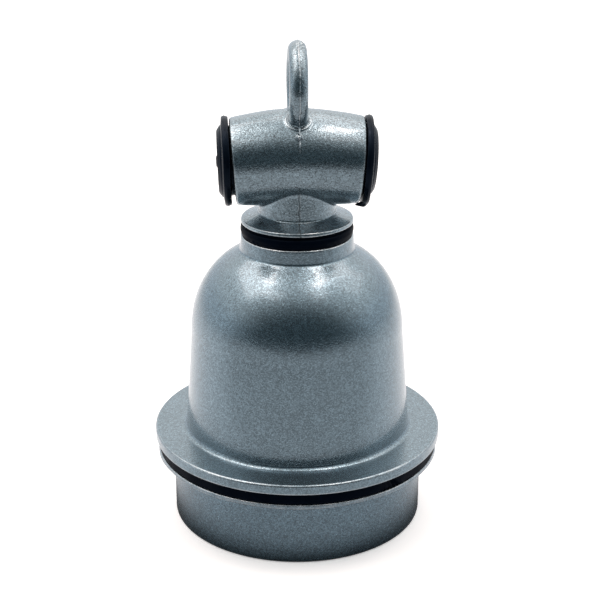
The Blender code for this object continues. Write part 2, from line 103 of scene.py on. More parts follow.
SPIGOT_BOTTOM = 98.5
WIRE_BORE_R = 8.2
WIRE_BORE_TOP = 139.0
CRACK_TOP = 133.0
BARREL_Z = 141.2
BARREL_R = 17.5
BARREL_END_R = 15.9
BARREL_HALF = 23.5
BARREL_STRAIGHT = 11.5
BARREL_BORE_R = 13.2
ARM_DROOP = math.radians(4.5)
EYE_Z = 167.0
EYE_MAJOR_R = 13.1
EYE_WIRE_R = 3.3
PLUG_BODY_R = 12.75
PLUG_FLANGE_R = 16.5
PLUG_DEPTH = 11.0
BOSS_X = 27.0
EARTH_Y = 27.0


# ----------------------------------------------------------------------------------------------
# mesh tools
# ----------------------------------------------------------------------------------------------
def mesh_object(name, verts, faces):
    """A smooth mesh in the scene, from points in metres."""
    mesh = bpy.data.meshes.new(name)
    mesh.from_pydata([tuple(v) for v in verts], [], [tuple(f) for f in faces])
    mesh.update()
    mesh.shade_smooth()
    obj = bpy.data.objects.new(name, mesh)
    bpy.context.scene.collection.objects.link(obj)
    return obj


def mark_edges(obj, start=0.6, full=1.8):
    """Stores how sharply a mesh bends as "edge": 1 on tight convex edges, -1 in tight creases.

    start and full are curvatures in 1/mm.
    """
    mesh = obj.data
    count = len(mesh.vertices)
    spots = np.empty(count * 3)
    mesh.vertices.foreach_get("co", spots)
    normals = np.empty(count * 3)
    mesh.vertices.foreach_get("normal", normals)
    ends = np.empty(len(mesh.edges) * 2, dtype=np.int64)
    mesh.edges.foreach_get("vertices", ends)
    spots, normals, ends = spots.reshape(-1, 3) / MM, normals.reshape(-1, 3), ends.reshape(-1, 2)
    highest, lowest = np.zeros(count), np.zeros(count)
    for here, there in ((ends[:, 0], ends[:, 1]), (ends[:, 1], ends[:, 0])):
        step = spots[there] - spots[here]
        bend = -2.0 * (step * normals[here]).sum(1) / np.maximum((step * step).sum(1), 1e-6)
        np.maximum.at(highest, here, bend)
        np.minimum.at(lowest, here, bend)
    span = full - start
    edge = np.clip((highest - start) / span, 0, 1) - np.clip((-lowest - start) / span, 0, 1)
    mesh.attributes.new("edge", "FLOAT", "POINT").data.foreach_set("value", edge.astype(np.float32))
    return obj


def filleted(points, steps, closed=True):
    """Rounds the corners of a (radius, z, fillet) profile with arcs, and returns (radius, z) points."""
    nearly_straight = math.radians(88)
    count = len(points)
    out = []
    for i, (r, z, fillet) in enumerate(points):
        is_end = not closed and i in (0, count - 1)
        if fillet <= 0 or is_end:
            out.append((r, z))
            continue
        here = Vector((r, z))
        before = Vector(points[i - 1][:2]) - here
        after = Vector(points[(i + 1) % count][:2]) - here
        half = before.angle(after) / 2
        if half > nearly_straight:
            out.append((r, z))
            continue
        reach = min(fillet / math.tan(half), before.length * 0.49, after.length * 0.49)
        radius = reach * math.tan(half)
        middle = (before.normalized() + after.normalized()).normalized()
        centre = here + middle * (radius / math.sin(half))
        start = here + before.normalized() * reach - centre
        end = here + after.normalized() * reach - centre
        turn = start.angle_signed(end)
        for k in range(steps + 1):
            c, s = math.cos(-turn * k / steps), math.sin(-turn * k / steps)
            out.append((centre.x + start.x * c - start.y * s, centre.y + start.x * s + start.y * c))
    return out


def finer(points, longest, closed=True):
    """Splits a profile's long segments, with a short support segment next to each of their ends."""
    out = []
    count = len(points)
    last = count if closed else count - 1
    for i in range(last):
        a = np.array(points[i], float)
        b = np.array(points[(i + 1) % count], float)
        span = float(np.linalg.norm(b - a))
        out.append(tuple(a))
        if span > longest:
            cuts = int(math.ceil(span / longest))
            support = 0.25 / cuts
            ts = [support] + [k / cuts for k in range(1, cuts)] + [1 - support]
            out += [tuple(a + (b - a) * t) for t in ts]
    if not closed:
        out.append(tuple(points[-1]))
    return out


def turned(name, profile, segs, closed=True, wobble=None):
    """Turns a (radius, z) profile in mm about Z. It runs top to bottom on its outer side.

    wobble(angle, radius, z) returns a changed radius and height. An open profile starts and ends on
    the axis or near it, and gets a face at each end.
    """
    prof = np.array(profile, float)
    count = len(prof)
    angle = TAU * np.arange(segs) / segs
    r = np.repeat(prof[None, :, 0], segs, 0)
    z = np.repeat(prof[None, :, 1], segs, 0)
    a = np.repeat(angle[:, None], count, 1)
    if wobble:
        r, z = wobble(a, r, z)
    verts = np.stack([r * np.cos(a), r * np.sin(a), z], -1).reshape(-1, 3) * MM
    i = np.arange(segs)[:, None]
    j = np.arange(count if closed else count - 1)[None, :]
    k = (j + 1) % count
    n = (i + 1) % segs
    quads = np.stack([i * count + j, i * count + k, n * count + k, n * count + j], -1).reshape(-1, 4)
    faces = [tuple(q) for q in quads.tolist()]
    verts = verts.tolist()
    if not closed:
        faces.append(tuple(q * count for q in range(segs)))
        faces.append(tuple(q * count + count - 1 for q in reversed(range(segs))))
    return mesh_object(name, verts, faces)


def helix(pitch, amp, low, high, fade, mid, grow):
    """A wobble that adds a right-hand round thread between the heights low and high.

    It changes the radii within grow of mid, and fades in and out over the height fade.
    """
    flatten = 1.6

    def wobble(a, r, z):
        inside = np.clip((z - low) / fade, 0, 1) * np.clip((high - z) / fade, 0, 1)
        inside = np.where(np.abs(r - mid) < grow, inside, 0.0)
        wave = np.cos(TAU * z / pitch - a)
        wave = np.tanh(flatten * wave) / math.tanh(flatten)
        return r + amp * inside * wave, z

    return wobble


def waves(a, seed, terms, low):
    """A smooth irregular function of an angle, about -1 to 1. low is its lowest wave number."""
    rng = np.random.default_rng(seed)
    total = np.zeros_like(a, dtype=float)
    for k in range(terms):
        total += rng.normal() / (1 + 0.35 * k) * np.cos((low + k) * a + rng.uniform(0, TAU))
    return total / math.sqrt(terms) * 1.2


def bump_at(a, centre, width):
    """A bell curve in angle."""
    d = (a - centre + math.pi) % TAU - math.pi
    return np.exp(-(d / width) ** 2)


# ----------------------------------------------------------------------------------------------
# materials
# ----------------------------------------------------------------------------------------------
class Nodes:
    """Small helper that writes node trees."""

    def __init__(self, name):
        self.mat = bpy.data.materials.new(name)
        self.mat.use_nodes = True
        self.tree = self.mat.node_tree
        self.shader = self.tree.nodes["Principled BSDF"]
        coords = self.tree.nodes.new("ShaderNodeTexCoord")
        self.coords = coords.outputs["Object"]

    def node(self, kind, **props):
        made = self.tree.nodes.new(kind)
        for key, value in props.items():
            setattr(made, key, value)
        return made

    def link(self, a, b):
        self.tree.links.new(a, b)

    def put(self, socket, value):
        """Sets a socket to a number or a colour, or links it to another socket."""
        if isinstance(value, (int, float)):
            socket.default_value = value
        elif isinstance(value, tuple):
            socket.default_value = (*value, 1.0)
        else:
            self.link(value, socket)

    def noise(self, scale, detail, rough):
        made = self.node("ShaderNodeTexNoise")
        made.inputs["Scale"].default_value = scale
        made.inputs["Detail"].default_value = detail
        made.inputs["Roughness"].default_value = rough
        self.link(self.coords, made.inputs["Vector"])
        return made.outputs["Fac"]

    def voronoi(self, scale, out="Distance"):
        made = self.node("ShaderNodeTexVoronoi")
        made.inputs["Scale"].default_value = scale
        self.link(self.coords, made.inputs["Vector"])
        return made.outputs[out]

    def ramp(self, value, stops):
        made = self.node("ShaderNodeValToRGB")
        ramp = made.color_ramp
        while len(ramp.elements) < len(stops):
            ramp.elements.new(0.5)
        for element, (pos, colour) in zip(ramp.elements, stops):
            element.position = pos
            shade = colour if isinstance(colour, tuple) else (colour, colour, colour)
            element.color = (*shade, 1.0)
        self.link(value, made.inputs["Fac"])
        return made.outputs["Color"]

    def math(self, op, a, b):
        made = self.node("ShaderNodeMath", operation=op)
        self.put(made.inputs[0], a)
        self.put(made.inputs[1], b)
        return made.outputs[0]

    def mix(self, fac, a, b, blend="MIX"):
        made = self.node("ShaderNodeMix", data_type="RGBA", blend_type=blend)
        # sockets 6, 7 and 2 are a mix node's two colours and its colour output
        self.put(made.inputs[0], fac)
        self.put(made.inputs[6], a)
        self.put(made.inputs[7], b)
        return made.outputs[2]

    def bump(self, height, strength, distance, before=None):
        made = self.node("ShaderNodeBump")
        made.inputs["Strength"].default_value = strength
        made.inputs["Distance"].default_value = distance
        self.link(height, made.inputs["Height"])
        if before is not None:
            self.link(before, made.inputs["Normal"])
        return made.outputs["Normal"]

    def set(self, **values):
        """Sets the shader's inputs, named with _ for a space."""
        for key, value in values.items():
            self.put(self.shader.inputs[key.replace("_", " ")], value)


def edge_masks(n):
    """Masks of a mesh's tight convex edges and of its creases, from its edge attribute."""
    edge = n.node("ShaderNodeAttribute", attribute_name="edge").outputs["Fac"]
    convex = n.ramp(edge, [(0.05, 0.0), (0.90, 1.0)])
    crease = n.ramp(n.math("MULTIPLY", edge, -1.0), [(0.10, 0.0), (0.90, 1.0)])
    return convex, crease


def metallic_paint(name, base, roughness, grain, depth, contrast, peel, pits):
    """Grey-blue metallic paint with light and dark flakes, fine dimples, edges lightened by wear and painted
    highlight, and creases darkened with painted shade.

    grain is the dimples' frequency per metre and depth is their depth in metres. contrast is that of
    the flakes, peel the strength of the longer waves under them, and pits that of dark pinholes.
    """
    n = Nodes(name)
    cells = n.node("ShaderNodeSeparateColor")
    n.link(n.voronoi(2600.0, out="Color"), cells.inputs[0])
    flakes = n.math("MULTIPLY", n.math("ADD", cells.outputs[0], n.noise(3000.0, 2.0, 0.6)), 0.5)
    dark = tuple(c * (1.0 - 1.2 * contrast) for c in base)
    light = tuple(c * (1.0 + 1.2 * contrast) for c in base)
    # the light and dark flakes are the paint's own tone; the brightest flakes are painted glints
    glint = tuple(min(c * (1.0 + 3.0 * contrast) + 0.02, 1.0) for c in base)
    colour = n.ramp(flakes, [(0.25, dark), (0.50, base), (0.74, light), (0.84, glint)])
    soft = n.ramp(n.noise(46.0, 4.0, 0.55), [(0.30, 0.90), (0.70, 1.0)])
    colour = n.mix(1.0, colour, soft, "MULTIPLY")
    convex, crease = edge_masks(n)
    # edges lightened in patches: partly worn paint, partly a painted highlight along fillets and rims
    wear_and_highlight = n.math("MULTIPLY", convex, n.ramp(n.noise(260.0, 3.0, 0.6), [(0.32, 0.20), (0.62, 0.62)]))
    holes = n.math("MULTIPLY", n.ramp(n.noise(950.0, 2.0, 0.5), [(0.655, 0.0), (0.70, 1.0)]), pits)
    colour = n.mix(holes, colour, tuple(0.10 * c for c in base))
    colour = n.mix(wear_and_highlight, colour, tuple(0.52 + 0.45 * c for c in base))
    # creases darkened towards a dark copy of the base colour: painted shade
    colour = n.mix(n.math("MULTIPLY", crease, 0.62), colour, tuple(0.22 * c for c in base))
    spread = n.ramp(n.noise(1500.0, 2.0, 0.6), [(0.30, roughness - 0.04), (0.70, roughness + 0.06)])
    normal = n.bump(n.noise(grain * 0.22, 2.0, 0.5), peel, depth * 1.1)
    normal = n.bump(n.noise(grain, 2.0, 0.55), 0.6, depth, normal)
    n.set(Base_Color=colour, Metallic=0.87, Roughness=spread, Normal=normal)
    n.set(Coat_Weight=0.7, Coat_Roughness=0.12, Coat_IOR=1.5)
    return n.mat


def rubber_material(name, gloss, shine):
    """Black rubber with dust in its pores and greyer worn edges.

    gloss is its middle roughness and shine its specular level.
    """
    n = Nodes(name)
    dust = n.noise(300.0, 5.0, 0.65)
    colour = n.ramp(dust, [(0.44, (0.0003, 0.0016, 0.0048)), (0.80, (0.0014, 0.0036, 0.0088))])
    convex, _ = edge_masks(n)
    colour = n.mix(n.math("MULTIPLY", convex, 0.30), colour, (0.008, 0.011, 0.016))
    rough = n.ramp(n.noise(120.0, 4.0, 0.6), [(0.3, gloss - 0.08), (0.7, gloss + 0.14)])
    normal = n.bump(n.noise(900.0, 3.0, 0.6), 0.30, 0.00010)
    normal = n.bump(n.noise(90.0, 2.0, 0.5), 0.25, 0.0004, normal)
    n.set(Base_Color=colour, Roughness=rough, Normal=normal)
    n.set(Specular_IOR_Level=shine, Specular_Tint=(0.42, 0.66, 1.0))
    return n.mat


def porcelain_material(name):
    """Cream glaze with a few brown specks."""
    n = Nodes(name)
    tone = n.noise(55.0, 4.0, 0.6)
    colour = n.ramp(tone, [(0.3, (0.80, 0.785, 0.735)), (0.7, (0.88, 0.87, 0.835))])
    specks = n.ramp(n.voronoi(240.0), [(0.02, 1.0), (0.06, 0.0)])
    colour = n.mix(n.math("MULTIPLY", specks, 0.5), colour, (0.38, 0.33, 0.27))
    rough = n.ramp(n.noise(70.0, 3.0, 0.5), [(0.3, 0.10), (0.7, 0.24)])
    normal = n.bump(n.noise(150.0, 2.0, 0.5), 0.20, 0.0005)
    n.set(Base_Color=colour, Roughness=rough, Normal=normal, Coat_Weight=0.6, Coat_Roughness=0.06)
    return n.mat


def metal_material(name, dark, light, roughness, tarnish):
    """Bare metal of two grainy tones, tarnished in patches and bright on its edges."""
    n = Nodes(name)
    grainy = n.noise(700.0, 5.0, 0.65)
    colour = n.ramp(grainy, [(0.30, dark), (0.72, light)])
    patch = n.ramp(n.noise(180.0, 5.0, 0.6), [(0.45, 0.0), (0.70, 1.0)])
    colour = n.mix(n.math("MULTIPLY", patch, 0.55), colour, tarnish)
    edges = n.ramp(n.node("ShaderNodeNewGeometry").outputs["Pointiness"], [(0.53, 0.0), (0.62, 1.0)])
    colour = n.mix(n.math("MULTIPLY", edges, 0.35), colour, light)
    rough = n.ramp(n.noise(420.0, 4.0, 0.6), [(0.3, roughness - 0.07), (0.7, roughness + 0.12)])
    normal = n.bump(grainy, 0.25, 0.00008)
    n.set(Base_Color=colour, Metallic=1.0, Roughness=rough, Normal=normal)
    return n.mat


# ----------------------------------------------------------------------------------------------
# the hanger head: one casting, modelled as a distance field with small cast fillets
# ----------------------------------------------------------------------------------------------
def graded(low, high, coarse, spots):
    """Coordinates from low to high, spaced coarsely but finely around spots of (centre, half, step)."""
    out = [low]
    while out[-1] < high:
        x = out[-1]
        step = coarse
        for centre, half, fine in spots:
            away = max(abs(x - centre) - half, 0.0)
            step = min(step, fine + 0.30 * away)
        out.append(x + step)
    return np.array(out)


def surface_net(name, field, xs, ys, zs):
    """Quads on the zero surface of a field in mm, each point moved onto the surface."""
    passes = 3
    probe = 0.02
    longest_move = 0.25
    shape = (len(xs), len(ys), len(zs))
    x, y, z = np.meshgrid(xs, ys, zs, indexing="ij")
    f = field(x, y, z)
    grid = (x, y, z)
    cells = tuple(s - 1 for s in shape)
    total = [np.zeros(cells) for _ in range(3)]
    count = np.zeros(cells)

    def corner(array, c):
        part = tuple(slice(k, k + n) for k, n in zip(c, cells))
        return array[part]

    for axis in range(3):
        others = [k for k in range(3) if k != axis]
        for u in (0, 1):
            for v in (0, 1):
                a = [0, 0, 0]
                a[others[0]], a[others[1]] = u, v
                b = list(a)
                b[axis] = 1
                fa, fb = corner(f, a), corner(f, b)
                cut = (fa < 0) != (fb < 0)
                t = np.where(cut, fa / np.where(cut, fa - fb, 1.0), 0.0)
                for k in range(3):
                    pa, pb = corner(grid[k], a), corner(grid[k], b)
                    total[k] += np.where(cut, pa + (pb - pa) * t, 0.0)
                count += cut
    has = count > 0
    index = np.full(cells, -1)
    index[has] = np.arange(int(has.sum()))
    p = np.stack([t[has] / count[has] for t in total], -1)
    faces = []
    for axis in range(3):
        u, v = [k for k in range(3) if k != axis]
        lo = [slice(1, -1)] * 3
        lo[axis] = slice(0, -1)
        hi = list(lo)
        hi[axis] = slice(1, None)
        fa, fb = f[tuple(lo)], f[tuple(hi)]
        cut = (fa < 0) != (fb < 0)
        where = np.argwhere(cut)
        where[:, u] += 1
        where[:, v] += 1
        ring = []
        for du, dv in ((-1, -1), (0, -1), (0, 0), (-1, 0)):
            c = where.copy()
            c[:, u] += du
            c[:, v] += dv
            ring.append(index[c[:, 0], c[:, 1], c[:, 2]])
        quads = np.stack(ring, -1)
        flip = (fa[cut] < 0) == (axis == 1)
        quads[flip] = quads[flip][:, ::-1]
        faces.append(quads)
    faces = np.concatenate(faces)
    for _ in range(passes):
        d = field(p[:, 0], p[:, 1], p[:, 2])
        grad = []
        for k in range(3):
            q = p.copy()
            q[:, k] += probe
            grad.append((field(q[:, 0], q[:, 1], q[:, 2]) - d) / probe)
        g = np.stack(grad, -1)
        size = np.maximum((g * g).sum(-1, keepdims=True), 0.05)
        p -= np.clip(d[:, None] * g / size, -longest_move, longest_move)
    return mesh_object(name, (p * MM).tolist(), faces.tolist())


def smooth_min(a, b, k):
    """The smaller of two distances, with a fillet of about k mm where they meet."""
    h = np.clip(0.5 + 0.5 * (b - a) / k, 0, 1)
    return b + (a - b) * h - k * h * (1 - h)


def smooth_max(a, b, k):
    """The larger of two distances, rounded over about k mm where they meet."""
    return -smooth_min(-a, -b, k)


def turned_distance(r, z, profile):
    """Signed distance to a closed (radius, z) outline."""
    best = np.full(r.shape, 1e9)
    sign = np.ones(r.shape)
    for i in range(len(profile)):
        ax, az = profile[i]
        bx, bz = profile[i - 1]
        ex, ez = bx - ax, bz - az
        px, pz = r - ax, z - az
        t = np.clip((px * ex + pz * ez) / (ex * ex + ez * ez + 1e-12), 0, 1)
        best = np.minimum(best, (px - ex * t) ** 2 + (pz - ez * t) ** 2)
        c1, c2, c3 = z >= az, z < bz, ex * pz > ez * px
        flip = (c1 & c2 & c3) | (~c1 & ~c2 & ~c3)
        sign = np.where(flip, -sign, sign)
    return sign * np.sqrt(best)


def arm_height(x):
    """Height of the barrel's arched axis."""
    reach = np.abs(x)
    start = BARREL_HALF - BARREL_STRAIGHT
    bend = np.minimum(reach, start)
    drop = 0.5 * math.tan(ARM_DROOP) * bend * bend / start
    return BARREL_Z - drop - math.tan(ARM_DROOP) * np.maximum(reach - start, 0.0)


ARM_END_Z = float(arm_height(np.array(BARREL_HALF)))


def lumps(x, y, z, scale, seed):
    """Slow irregular waves, about -1 to 1."""
    rng = np.random.default_rng(seed)
    total = 0.0
    for _ in range(6):
        d = rng.normal(size=3)
        d *= scale * rng.uniform(0.6, 1.5) / np.linalg.norm(d)
        total = total + np.sin(x * d[0] + y * d[1] + z * d[2] + rng.uniform(0, TAU))
    return total / 3.0


DISC_PROFILE = filleted(
    [
        (-5.0, 136.0, 0),
        (SADDLE_R - 0.3, 136.0, 0),
        (SADDLE_R + 0.1, 120.35, 1.0),
        (DISC_R - 0.15, DISC_UNDER + 1.45, 0.35),
        (DISC_R, DISC_UNDER, 0.35),
        (SPIGOT_R, DISC_UNDER, 0.4),
        (SPIGOT_R, SPIGOT_BOTTOM, 0.7),
        (-5.0, SPIGOT_BOTTOM, 0),
    ],
    4,
)


def barrel_field(side, radius, x, z):
    """Distance to the cask shaped barrel, cut square to its drooping arms."""
    along = (np.abs(x) - BARREL_HALF) * math.cos(ARM_DROOP)
    along = along - (z - ARM_END_Z) * math.sin(ARM_DROOP)
    return smooth_max(side - radius, along, 1.1)


def eye_field(x, y, z):
    """Distance to the hanging eye's ring, a touch wider than it is deep."""
    return np.hypot(np.hypot(y, z - EYE_Z) - EYE_MAJOR_R, x * 0.985) - EYE_WIRE_R


def from_crack(x, z):
    """How far to the side of the crack on the head's front a point is."""
    return x - 0.1 - 0.14 * np.sin(z * 1.3)


def cast_marks(body, x, y, z):
    """The casting's uneven skin, its parting line with flash, the crack, a burr and the broken gate."""
    flash_low, eye_foot = 146.8, 157.0
    burr_y, burr_z = -13.8, 152.0
    gate_x, gate_y, gate_z = 1.7, -3.0, 182.2
    body = body + 0.05 * lumps(x, y, z, 0.42, 5)
    line = np.exp(-((x - 0.25 - 0.08 * np.sin(z * 0.55)) / 0.22) ** 2)
    uneven = 0.55 + 0.45 * np.sin(z * 1.9 + 2.0 * np.sin(y * 0.8)) * np.cos(z * 0.63 + 1.0)
    on_eye = np.clip((z - eye_foot) / 2.0, 0, 1)
    on_saddle = np.clip((CRACK_TOP + 1.0 - z) / 2.0, 0, 1)
    flash = np.clip((z - flash_low) / 2.0, 0, 1) * (1 - on_eye)
    strong = 0.27 * on_eye + 0.50 * flash + 0.04 * (1 - on_saddle)
    body = body - line * strong * uneven
    crack = np.exp(-(from_crack(x, z) / 0.20) ** 2)
    body = body + 0.30 * crack * on_saddle * (0.6 + 0.4 * uneven) * (z > DISC_UNDER - 0.2) * (y < 0)
    burr = np.sqrt((x / 0.9) ** 2 + ((z - burr_z) / 1.0) ** 2 + ((y - burr_y) / 1.5) ** 2) - 1.0
    body = smooth_min(body, burr * 0.7, 0.35)
    gate = np.exp(-(((x - gate_x) / 1.9) ** 2 + ((z - gate_z) / 2.2) ** 2 + ((y - gate_y) / 5.5) ** 2))
    return body - gate * 0.34 * lumps(x, y, z, 3.6, 9)


def head_field(x, y, z):
    """Distance to the casting's surface in mm, negative in the metal."""
    side = np.hypot(y, (z - arm_height(x)) * math.cos(ARM_DROOP))
    radius = BARREL_R - (BARREL_R - BARREL_END_R) * np.minimum(np.abs(x) / BARREL_HALF, 1.3) ** 2
    r = np.hypot(x, y)
    ring = eye_field(x, y, z)
    body = smooth_min(barrel_field(side, radius, x, z), turned_distance(r, z, DISC_PROFILE), 0.6)
    body = smooth_min(body, ring, 1.5)
    worn_lip = np.exp(-(((side - radius) / 0.45) ** 2 + ((ring - 1.15) / 0.40) ** 2))
    body = body - 0.42 * worn_lip * (z > 149.0)
    body = cast_marks(body, x, y, z)
    body = smooth_max(body, BARREL_BORE_R - side, 0.5)
    wire_way = np.maximum(r - WIRE_BORE_R, z - WIRE_BORE_TOP)
    return smooth_max(body, -wire_way, 0.4)


def build_head(mat):
    """The head, on a grid that is finer round its parting line, ends, disc and the eye's foot."""
    ends = [(-24.0, 0.9, 0.45), (24.0, 0.9, 0.45)]
    eye_sides = [(4.3, 0.9, 0.3), (-4.3, 0.9, 0.3)]
    parting = (0.25, 0.55, 0.10)
    eye_feet = [(-11.0, 3.0, 0.34), (11.0, 3.0, 0.34)]
    disc, spigot_end, eye_root = (118.8, 2.3, 0.24), (98.6, 0.6, 0.35), (152.8, 3.0, 0.28)
    xs = graded(-25.6, 25.6, 0.72, [parting, *ends, *eye_sides])
    ys = graded(-21.6, 21.6, 0.62, eye_feet)
    zs = graded(98.0, 184.4, 0.62, [disc, spigot_end, eye_root])
    head = surface_net("head_casting", head_field, xs, ys, zs)
    head.data.materials.append(mat)
    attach(head, "head")
    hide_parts("hanger_head")
    return head


def paint_crack_shade(head):
    """Marks the crack on the head's front as a crease all over, so that it gets the painted crease shade and
    no lightened edge.
    """
    mesh = head.data
    spots = np.empty(len(mesh.vertices) * 3)
    mesh.vertices.foreach_get("co", spots)
    x, y, z = spots.reshape(-1, 3).T / MM
    edge = np.empty(len(mesh.vertices), np.float32)
    mesh.attributes["edge"].data.foreach_get("value", edge)
    on_crack = np.abs(from_crack(x, z)) < 0.34
    edge[on_crack & (z < CRACK_TOP) & (z > DISC_UNDER) & (y < 0)] = -1.0
    mesh.attributes["edge"].data.foreach_set("value", edge)


# ----------------------------------------------------------------------------------------------
# bell, collar and gaskets
# ----------------------------------------------------------------------------------------------
def ellipse_arc(centre_r, centre_z, a, b, start, end, steps):
    """Profile points on an ellipse with the half axes a and b, from one angle in degrees to another."""
    out = []
    for i in range(steps + 1):
        t = math.radians(start + (end - start) * i / steps)
        out.append((centre_r + a * math.cos(t), centre_z + b * math.sin(t), 0))
    return out


def bell_profile():
    """The bell's section, from its top plate down the outside and back up the inside."""
    inner_a, inner_b = SHOULDER_A - WALL, SHOULDER_B - WALL
    points = [(PLATE_HOLE_R, NECK_TOP, 0.4), (NECK_R, NECK_TOP, 0.6)]
    points += [(NECK_R + 0.35, NECK_FOOT_Z + 0.9, 1.3), (NECK_FOOT_R, NECK_FOOT_Z, 0.4)]
    points += ellipse_arc(SHOULDER_CENTRE_R, SHOULDER_Z, SHOULDER_A, SHOULDER_B, SHOULDER_TOP_ANGLE, 0, 36)
    points += [(WALL_FOOT_R, 39.0, 0), (WALL_FOOT_R + 0.1, FLANGE_TOP, 2.3)]
    points += [(FLANGE_R, FLANGE_TOP, 0.85), (FLANGE_R, FLANGE_LIP_UNDER, 0.35)]
    points += [(FLANGE_R - 0.55, FLANGE_LIP_UNDER, 0.15), (FLANGE_R - 0.7, FLANGE_UNDER, 0.1)]
    root_r = MALE_MID_R - THREAD_AMP
    points += [(root_r, FLANGE_UNDER, 0.4), (root_r, 30.6, 0)]
    points += [(MALE_MID_R, 29.8, 0), (MALE_MID_R, 18.6, 0), (root_r, MALE_LOW, 0)]
    points += [(root_r - 0.1, SPIGOT_END, 0.4), (SPIGOT_INNER_R, SPIGOT_END, 0.4)]
    points += [(SPIGOT_INNER_R, 30.0, 2.0), (WALL_FOOT_R - WALL, 38.0, 2.0)]
    inner_top = math.degrees(math.acos((PLATE_R - SHOULDER_CENTRE_R) / inner_a))
    points += ellipse_arc(SHOULDER_CENTRE_R, SHOULDER_Z, inner_a, inner_b, 0, inner_top, 22)
    points += [(PLATE_R, PLATE_UNDER, 1.2), (PLATE_HOLE_R, PLATE_UNDER, 0.4)]
    return points


def densify(points, mid, low, high, longest):
    """Splits the segments of a thread's own stretch of a profile."""
    out = []
    for i, (r, z) in enumerate(points):
        r2, z2 = points[(i + 1) % len(points)]
        out.append((r, z))
        span = math.hypot(r2 - r, z2 - z)
        near = abs(r - mid) < 1.2 and abs(r2 - mid) < 1.2 and low < z < high and low < z2 < high
        if near and span > longest:
            cuts = int(math.ceil(span / longest))
            out += [(r + (r2 - r) * k / cuts, z + (z2 - z) * k / cuts) for k in range(1, cuts)]
    return out


def build_bell(mat):
    loop = finer(filleted(bell_profile(), 5), 2.2)
    thread = helix(THREAD_PITCH, THREAD_AMP, MALE_LOW, MALE_HIGH, THREAD_FADE, MALE_MID_R, THREAD_GROW)

    def wobble(a, r, z):
        outer = (z > FLANGE_TOP + 0.4) & (r > 19.5)
        unround = 0.06 * np.sin(3 * a + z * 0.05) + 0.04 * np.sin(7 * a - z * 0.09)
        r = r + np.where(outer, unround, 0)
        return thread(a, r, z)

    dense = densify(loop, MALE_MID_R, MALE_LOW - 0.6, MALE_HIGH + 0.2, 0.45)
    bell = turned("bell_casting", dense, 224, wobble=wobble)
    bell.data.materials.append(mat)
    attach(bell, "bell")
    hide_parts("bell_housing")
    return bell


def build_collar(mat):
    points = [
        (46.0, COLLAR_TOP, 0.4),
        (COLLAR_FLANGE_R, COLLAR_TOP, 0.5),
        (COLLAR_FLANGE_R, COLLAR_FLANGE_UNDER, 0.5),
        (COLLAR_R, COLLAR_FLANGE_UNDER, 1.3),
        (COLLAR_R, 0.0, 0.55),
        (46.1, 0.0, 0.5),
        (FEMALE_MID_R + THREAD_AMP, 1.2, 0),
        (FEMALE_MID_R, 2.2, 0),
        (FEMALE_MID_R, 24.8, 0),
        (FEMALE_MID_R + THREAD_AMP, FEMALE_HIGH, 0),
    ]
    loop = finer(filleted(points, 5), 2.2)
    dense = densify(loop, FEMALE_MID_R, FEMALE_LOW - 0.4, FEMALE_HIGH + 0.4, 0.45)
    thread = helix(THREAD_PITCH, THREAD_AMP, FEMALE_LOW, FEMALE_HIGH, THREAD_FADE, FEMALE_MID_R, THREAD_GROW)

    def wobble(a, r, z):
        rim = (r > COLLAR_FLANGE_R - 1.5) & (z > COLLAR_FLANGE_UNDER - 0.4)
        ragged = 0.22 * waves(a, 3, 14, 9) * np.clip((COLLAR_TOP + 0.1 - z) / 1.6, 0, 1)
        r = r + np.where(rim, ragged, 0)
        return thread(a, r, z)

    collar = turned("collar_casting", dense, 224, wobble=wobble)
    collar.data.materials.append(mat)
    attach(collar, "collar")
    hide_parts("shade_collar")
    return collar


def build_flange_gasket(mat):
    low, high = COLLAR_TOP + 0.08, FLANGE_UNDER - 0.08
    points = [(GASKET_R - 0.15, high, 0.9), (GASKET_R, low, 0.7)]
    points += [(GASKET_INNER_R, low, 0.4), (GASKET_INNER_R, high, 0.4)]
    loop = finer(filleted(points, 6), 1.0)

    def wobble(a, r, z):
        outer = np.clip((r - 51.5) / 2.0, 0, 1)
        skew = (z - low) / (high - low)
        ragged = 0.24 * waves(a, 11, 10, 3) + 0.14 * waves(a + 0.02 * skew, 12, 30, 22)
        torn = bump_at(a, math.radians(-52.5), 0.07)
        chips = np.sin(170.0 * a + 9.0 * skew) + np.sin(263.0 * a - 14.0 * skew + 1.0)
        ragged = ragged + torn * (0.42 * chips - 0.25)
        r = r + outer * ragged * (0.5 + 0.8 * (1 - skew))
        z = z + outer * (0.16 * waves(a, 13, 9, 4)) * (1 - skew) * 0.5
        return r, np.clip(z, COLLAR_TOP + 0.02, FLANGE_UNDER - 0.02)

    gasket = turned("flange_gasket_ring", loop, 480, wobble=wobble)
    gasket.data.materials.append(mat)
    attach(gasket, "lower_gasket")
    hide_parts("flange_gasket")
    return gasket


def build_neck_gasket(mat):
    low, high = NECK_TOP + 0.06, DISC_UNDER - 0.06
    points = [
        (19.5, high, 0.3),
        (19.9, high - 0.9, 0.3),
        (20.8, high - 1.1, 0.9),
        (21.05, 0.5 * (high + low) - 0.3, 1.6),
        (20.75, low + 0.7, 0.8),
        (20.3, low, 0.3),
        (PLATE_HOLE_R, low, 0.3),
        (PLATE_HOLE_R, high, 0.3),
    ]
    loop = finer(filleted(points, 5), 0.9)

    def wobble(a, r, z):
        outer = np.clip((r - 19.0) / 1.5, 0, 1)
        r = r + outer * 0.07 * waves(a, 21, 8, 2)
        nib = bump_at(a, math.radians(-143.0), 0.035) + 0.7 * bump_at(a, math.radians(-137.5), 0.02)
        r = r + outer * 0.45 * nib * np.clip((low + 1.6 - z) / 0.8, 0, 1)
        return r, z

    gasket = turned("neck_gasket_ring", loop, 256, wobble=wobble)
    gasket.data.materials.append(mat)
    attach(gasket, "bell")
    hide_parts("neck_gasket")
    return gasket


